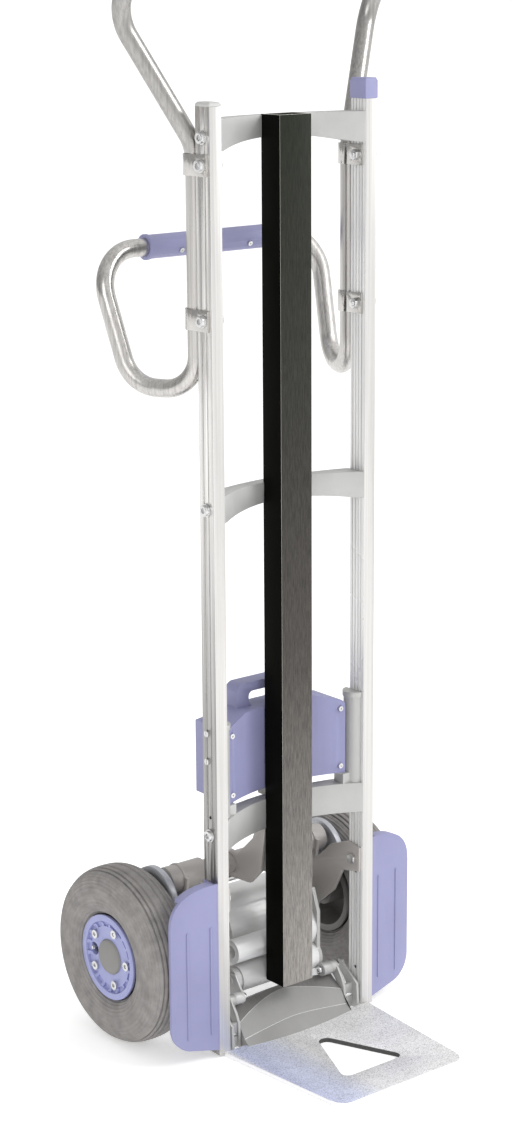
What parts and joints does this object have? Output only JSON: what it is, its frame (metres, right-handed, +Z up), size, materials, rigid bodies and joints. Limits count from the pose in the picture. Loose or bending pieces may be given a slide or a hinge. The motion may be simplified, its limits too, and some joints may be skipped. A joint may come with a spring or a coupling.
{
  "type": "hand truck",
  "caption": "Upright two-wheeled powered hand truck: twin rails, bowed crossbars, centre bar, loop handles, toe plate, pneumatic wheels, swinging support wheels and a lift-out battery.",
  "frame": {"origin": "centre of the footprint on the floor", "axes": "+Z up along the rails, -Y towards the load and toe plate, +X across the truck to the right when seen from the load side"},
  "size_m": [0.4822, 0.504, 1.5998],
  "materials": {
    "rail_aluminium": "brushed extrusion",
    "grey_plastic": "matte",
    "blue_plastic": "fine grain",
    "cast_aluminium": "cast, fine grain",
    "zinc_steel": "zinc plated",
    "dark_bar": "brushed dark coat",
    "polished_tube": "polished",
    "grip_rubber": "matte",
    "black_plastic": "matte",
    "red_plastic": "satin",
    "green_plastic": "satin",
    "cell_wrap": "satin",
    "dark_steel": "satin coat",
    "light_alloy": "cast",
    "tyre_rubber": "matte",
    "blue_rim": "satin coat"
  },
  "bodies": {
    "chassis": {"left_upright": "rail_aluminium", "right_upright": "rail_aluminium", "left_end_cap": "grey_plastic", "right_end_cap": "blue_plastic", "top_crossbar": "cast_aluminium", "middle_crossbar": "cast_aluminium", "lower_crossbar": "cast_aluminium", "crossbar_bolts": "zinc_steel", "centre_bar": "dark_bar", "centre_bar_screws": "zinc_steel", "left_handle_tube": "polished_tube", "right_handle_tube": "polished_tube", "grip_sleeve": "blue_plastic", "sleeve_screws": "zinc_steel", "left_hand_grip": "grip_rubber", "right_hand_grip": "grip_rubber", "tube_clamps": "polished_tube", "clamp_bolts": "zinc_steel", "switch_housing": "black_plastic", "toe_plate": "cast_aluminium", "toe_plate_bolts": "zinc_steel", "left_wheel_guard": "blue_plastic", "right_wheel_guard": "blue_plastic", "guard_screws": "zinc_steel", "left_battery_guide": "cast_aluminium", "right_battery_guide": "cast_aluminium", "guide_screws": "zinc_steel", "battery_dock": "black_plastic", "gearbox_housing": "cast_aluminium", "gearbox_cover": "cast_aluminium", "gearbox_screws": "zinc_steel", "motor_casing": "cast_aluminium", "stay_tube": "dark_steel", "stay_hangers": "dark_steel", "left_axle_bracket": "dark_steel", "right_axle_bracket": "dark_steel", "foot_brackets": "cast_aluminium", "bracket_bolts": "zinc_steel", "main_axle": "zinc_steel"},
    "left_wheel": {"left_tyre": "tyre_rubber", "left_rim": "blue_rim", "left_rim_bolts": "zinc_steel", "left_hub_cap": "black_plastic"},
    "right_wheel": {"right_tyre": "tyre_rubber", "right_rim": "blue_rim", "right_rim_bolts": "zinc_steel", "right_hub_cap": "black_plastic"},
    "lift": {"left_lift_arm": "light_alloy", "right_lift_arm": "light_alloy", "lift_tie_rod": "zinc_steel"},
    "left_support": {"left_support_wheel": "light_alloy"},
    "right_support": {"right_support_wheel": "light_alloy"},
    "motor_rotor": {"motor_shaft": "zinc_steel"},
    "idler": {"idler_gear": "zinc_steel"},
    "battery": {"battery_case": "blue_plastic", "battery_cells": "cell_wrap", "battery_screws": "zinc_steel"},
    "release": {"battery_release": "black_plastic"},
    "rocker": {"rocker_switch": "red_plastic"},
    "button": {"power_button": "green_plastic"}
  },
  "joints": [
    {"name": "left_wheel_spin", "type": "hinge", "parent": "chassis", "child": "left_wheel", "pos_m": [-0.199, 0.123, 0.129], "axis": [1, 0, 0], "continuous": true},
    {"name": "right_wheel_spin", "type": "hinge", "parent": "chassis", "child": "right_wheel", "pos_m": [0.199, 0.123, 0.129], "axis": [1, 0, 0], "continuous": true},
    {"name": "lift_swing", "type": "hinge", "parent": "chassis", "child": "lift", "pos_m": [0, 0.123, 0.129], "axis": [-1, 0, 0], "range_deg": [0, 180]},
    {"name": "left_support_spin", "type": "hinge", "parent": "lift", "child": "left_support", "pos_m": [-0.154, 0.108, 0.20248], "axis": [1, 0, 0], "continuous": true},
    {"name": "right_support_spin", "type": "hinge", "parent": "lift", "child": "right_support", "pos_m": [0.154, 0.108, 0.20248], "axis": [1, 0, 0], "continuous": true},
    {"name": "motor_spin", "type": "hinge", "parent": "chassis", "child": "motor_rotor", "pos_m": [0, 0.03828, 0.07937], "axis": [-1, 0, 0], "range_deg": [-1, 351]},
    {"name": "idler_spin", "type": "hinge", "parent": "chassis", "child": "idler", "pos_m": [0, 0.05828, 0.123], "axis": [-1, 0, 0], "range_deg": [-211, 1]},
    {"name": "battery_lift", "type": "slide", "parent": "chassis", "child": "battery", "axis": [0, 0, 1], "range_m": [0, 0.16]},
    {"name": "release_press", "type": "slide", "parent": "battery", "child": "release", "axis": [0, -1, 0], "range_m": [0, 0.0025], "stiffness_N_per_m": 400, "springref_m": -0.001},
    {"name": "rocker_tilt", "type": "hinge", "parent": "chassis", "child": "rocker", "pos_m": [0.18732, 0.05539, 1.47543], "axis": [0, -0.9106, -0.4132], "range_deg": [-10, 10], "stiffness_Nm_per_rad": 0.2},
    {"name": "button_press", "type": "slide", "parent": "chassis", "child": "button", "axis": [0.9977, 0.0279, -0.0615], "range_m": [0, 0.003], "stiffness_N_per_m": 400, "springref_m": -0.001}
  ],
  "couplings": [
    {"joint": "motor_spin", "follows": "lift_swing", "ratio": 1.9444},
    {"joint": "idler_spin", "follows": "lift_swing", "ratio": -1.1667}
  ]
}
